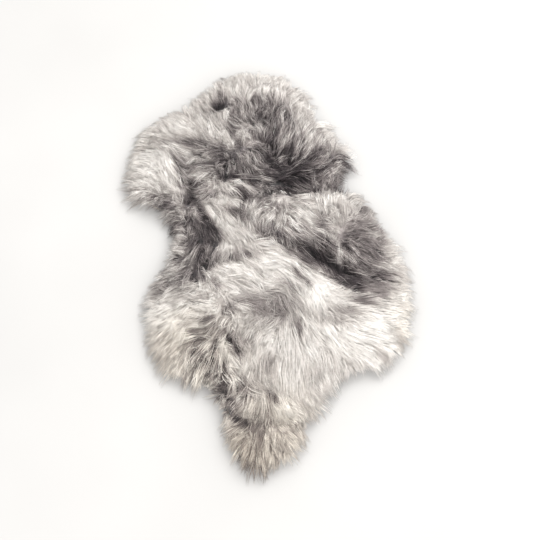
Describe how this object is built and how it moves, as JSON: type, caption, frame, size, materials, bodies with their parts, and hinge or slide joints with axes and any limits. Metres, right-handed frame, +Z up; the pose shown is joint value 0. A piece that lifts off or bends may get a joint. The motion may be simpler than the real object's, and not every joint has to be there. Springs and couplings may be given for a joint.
{
  "type": "sheepskin rug",
  "caption": "Long-wooled sheepskin rug laid out flat: one whole pelt with a wavy leg-and-neck outline, deep lumpy wool and loose locks round its rim.",
  "frame": {"origin": "middle of the hide's flat underside, which lies on the floor", "axes": "+Z up through the wool, +Y along the back towards the neck end, +X to the right of someone who stands at the tail end and looks towards the neck"},
  "size_m": [0.804, 1.1974, 0.0934],
  "materials": {
    "wool": "long straight to wavy wool, silver grey with charcoal patches, soft sheen",
    "hide": "pale suede flesh side of a tanned hide"
  },
  "bodies": {
    "root": {"sheepskin": "wool"}
  },
  "joints": []
}
